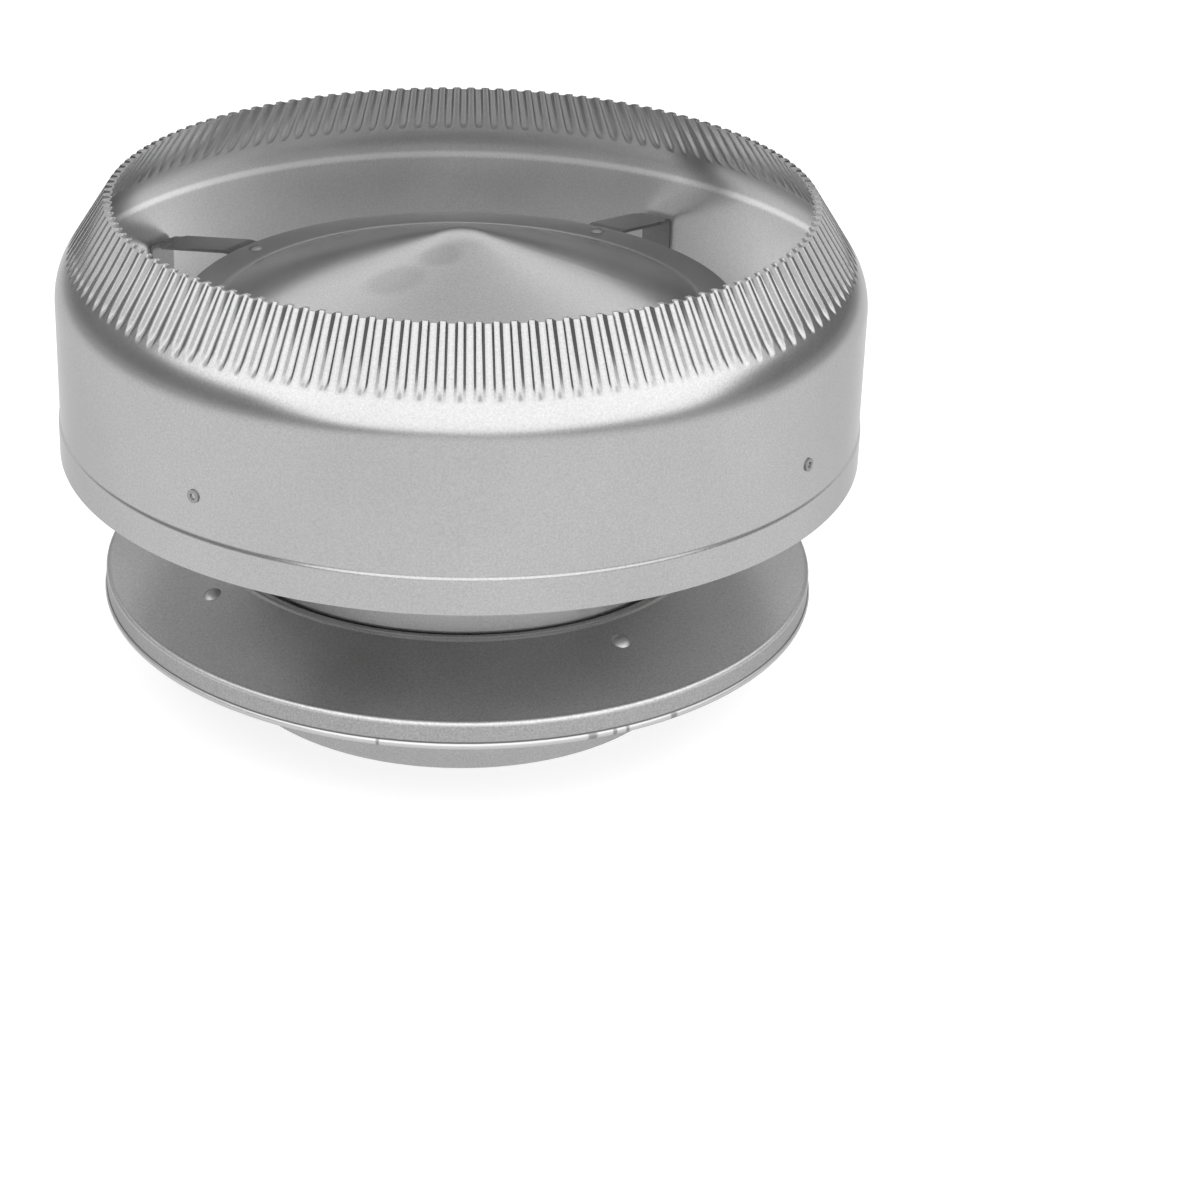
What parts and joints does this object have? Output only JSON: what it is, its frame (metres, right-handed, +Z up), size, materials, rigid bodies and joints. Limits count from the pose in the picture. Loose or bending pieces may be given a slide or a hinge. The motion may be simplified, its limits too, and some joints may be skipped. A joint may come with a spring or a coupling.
{
  "type": "chimney rain cap",
  "caption": "Round sheet-metal chimney rain cap: crimped wind band round a shallow conical lid, bent straps, collar, sloped base flange and flue spigot.",
  "frame": {"origin": "centre of the flue spigot's lower edge, on the cap's axis", "axes": "+Z up along the cap's axis, -Y towards the front, +X to the right seen from the front"},
  "size_m": [0.2857, 0.2858, 0.181],
  "materials": {
    "sheet": "satin galvanised sheet",
    "strap": "satin galvanised strip",
    "rivet": "plated steel"
  },
  "bodies": {
    "root": {"outer_band": "sheet", "lid": "sheet", "collar": "sheet", "flue_spigot": "sheet", "base_flange": "sheet", "bracket_front_left": "strap", "bracket_front_right": "strap", "bracket_back_right": "strap", "bracket_back_left": "strap", "band_rivets": "rivet", "lid_rivets": "rivet", "collar_rivets": "rivet", "flange_rivets": "rivet", "spigot_rivets": "rivet"}
  },
  "joints": []
}
